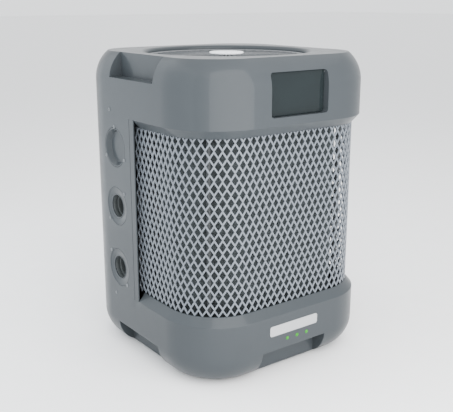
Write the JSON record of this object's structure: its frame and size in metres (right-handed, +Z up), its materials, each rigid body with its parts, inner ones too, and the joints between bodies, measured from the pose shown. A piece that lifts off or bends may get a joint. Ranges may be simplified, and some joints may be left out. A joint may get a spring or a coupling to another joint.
{
  "type": "pool heat pump",
  "caption": "Free-standing pool heat pump: rounded casing, wrap-round lattice screen over its air coil, upward-blowing fan, flap-covered controls and side water connections.",
  "frame": {"origin": "on the floor under the middle of the unit", "axes": "+Z up, controls face -Y, water connections face -X"},
  "size_m": [0.556, 0.56, 0.76],
  "materials": {
    "casing_plastic": "smooth glossy mid-grey moulded plastic",
    "screen_plastic": "satin light grey moulded plastic",
    "smoked_plastic": "dark smoked gloss plastic",
    "green_lens": "clear green lens",
    "badge_metal": "satin brushed aluminium",
    "key_plastic": "smooth grey plastic",
    "lcd_glass": "dark glossy display window",
    "foot_rubber": "black moulded rubber",
    "sheet_steel": "galvanised sheet steel",
    "dark_plastic": "fine-grained dark plastic",
    "fan_plastic": "black glass-filled plastic",
    "motor_paint": "dark grey painted metal",
    "copper_tube": "drawn copper with brazed joints",
    "fin_aluminium": "coated aluminium fins",
    "compressor_paint": "black painted steel",
    "titanium_tube": "drawn titanium tube",
    "circuit_board": "green solder mask",
    "bright_steel": "bright zinc-plated steel"
  },
  "bodies": {
    "casing": {"base_casing": "casing_plastic", "service_panel": "casing_plastic", "top_cover": "casing_plastic", "inlet_ring": "casing_plastic", "outlet_ring": "casing_plastic", "blank_cap": "casing_plastic", "mesh_screen": "screen_plastic", "fan_guard": "screen_plastic", "guard_cap": "screen_plastic", "status_lamp_left": "green_lens", "status_lamp_middle": "green_lens", "status_lamp_right": "green_lens", "nameplate": "badge_metal", "lcd_window": "lcd_glass", "foot_front_left": "foot_rubber", "foot_front_right": "foot_rubber", "foot_rear_right": "foot_rubber", "foot_rear_left": "foot_rubber", "base_pan": "sheet_steel", "corner_post_front_left": "sheet_steel", "corner_post_front_right": "sheet_steel", "corner_post_rear_right": "sheet_steel", "corner_post_rear_left": "sheet_steel", "motor_bracket": "sheet_steel", "coil_plate_left": "sheet_steel", "coil_plate_rear": "sheet_steel", "electrical_box": "sheet_steel", "electrical_cover": "sheet_steel", "fan_shroud": "dark_plastic", "exchanger_shell": "dark_plastic", "water_inlet_socket": "dark_plastic", "water_outlet_socket": "dark_plastic", "terminal_cover": "dark_plastic", "controller_body": "dark_plastic", "terminal_block": "dark_plastic", "cable_gland": "dark_plastic", "drain_spout": "dark_plastic", "flow_switch": "dark_plastic", "fan_motor": "motor_paint", "four_way_valve": "copper_tube", "filter_drier": "copper_tube", "expansion_valve": "copper_tube", "discharge_pipe": "copper_tube", "suction_pipe": "copper_tube", "evaporator_pipe": "copper_tube", "exchanger_pipe": "copper_tube", "liquid_pipe": "copper_tube", "evaporator_coil": "fin_aluminium", "compressor": "compressor_paint", "accumulator": "compressor_paint", "titanium_coil": "titanium_tube", "control_board": "circuit_board"},
    "fan_rotor": {"fan_impeller": "fan_plastic", "motor_shaft": "bright_steel", "fan_nut": "bright_steel"},
    "flap": {"display_flap": "smoked_plastic"},
    "power_button": {"power_key": "key_plastic"},
    "mode_button": {"mode_key": "key_plastic"},
    "up_button": {"up_key": "key_plastic"},
    "down_button": {"down_key": "key_plastic"}
  },
  "joints": [
    {"name": "fan_spin", "type": "hinge", "parent": "casing", "child": "fan_rotor", "pos_m": [0, 0, 0.678], "axis": [0, 0, 1], "continuous": true},
    {"name": "flap_hinge", "type": "hinge", "parent": "casing", "child": "flap", "pos_m": [0, -0.2635, 0.723], "axis": [-1, 0, 0], "range_deg": [0, 90]},
    {"name": "power_press", "type": "slide", "parent": "casing", "child": "power_button", "axis": [0, 1, 0], "range_m": [0, 0.001], "stiffness_N_per_m": 600},
    {"name": "mode_press", "type": "slide", "parent": "casing", "child": "mode_button", "axis": [0, 1, 0], "range_m": [0, 0.001], "stiffness_N_per_m": 600},
    {"name": "up_press", "type": "slide", "parent": "casing", "child": "up_button", "axis": [0, 1, 0], "range_m": [0, 0.001], "stiffness_N_per_m": 600},
    {"name": "down_press", "type": "slide", "parent": "casing", "child": "down_button", "axis": [0, 1, 0], "range_m": [0, 0.001], "stiffness_N_per_m": 600}
  ]
}
